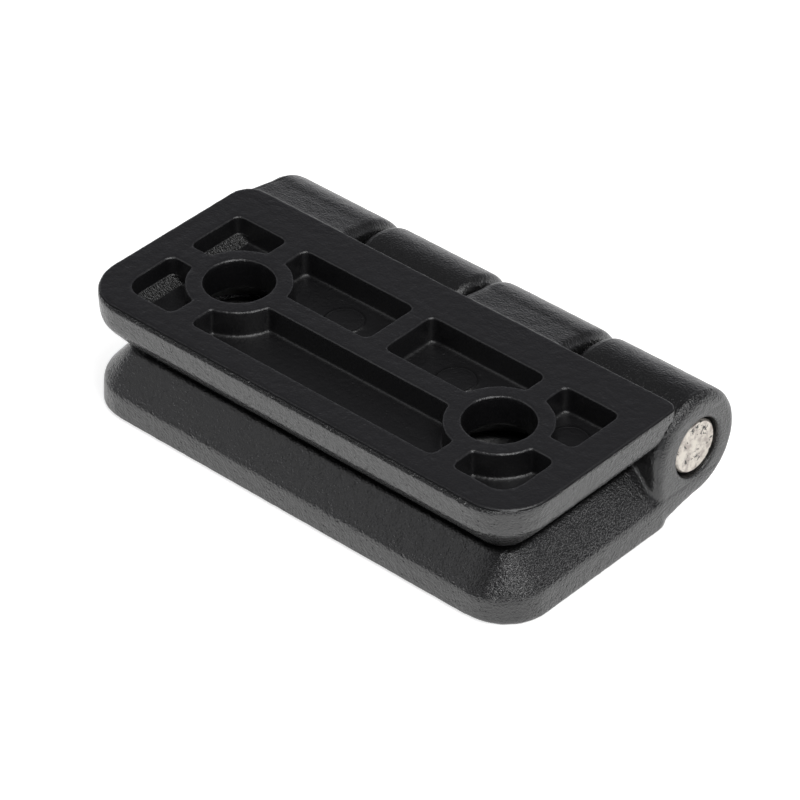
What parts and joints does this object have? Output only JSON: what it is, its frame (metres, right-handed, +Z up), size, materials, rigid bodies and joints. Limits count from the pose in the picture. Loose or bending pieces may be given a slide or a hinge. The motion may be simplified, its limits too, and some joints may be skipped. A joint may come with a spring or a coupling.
{
  "type": "butt hinge",
  "caption": "Folded cast butt hinge with ribbed, countersunk leaves that swing on a plated pin.",
  "frame": {"origin": "midway between the two screw holes of the fixed leaf, on its mounting face", "axes": "+X along the pin and the long side, +Y from the free edges towards the pin, +Z up from the mounting face of the fixed leaf"},
  "size_m": [0.0494, 0.0294, 0.012],
  "materials": {
    "leaf_coating": "fine-textured satin near-black powder coating on cast zinc alloy",
    "pin_plating": "dull nickel-plated steel with specks of coating on the ends"
  },
  "bodies": {
    "fixed": {"fixed_leaf": "leaf_coating", "hinge_pin": "pin_plating"},
    "swing": {"swing_leaf": "leaf_coating"}
  },
  "joints": [
    {"name": "leaf_swing", "type": "hinge", "parent": "fixed", "child": "swing", "pos_m": [0, 0.0141, 0.006], "axis": [-1, 0, 0], "range_deg": [0, 225]}
  ]
}
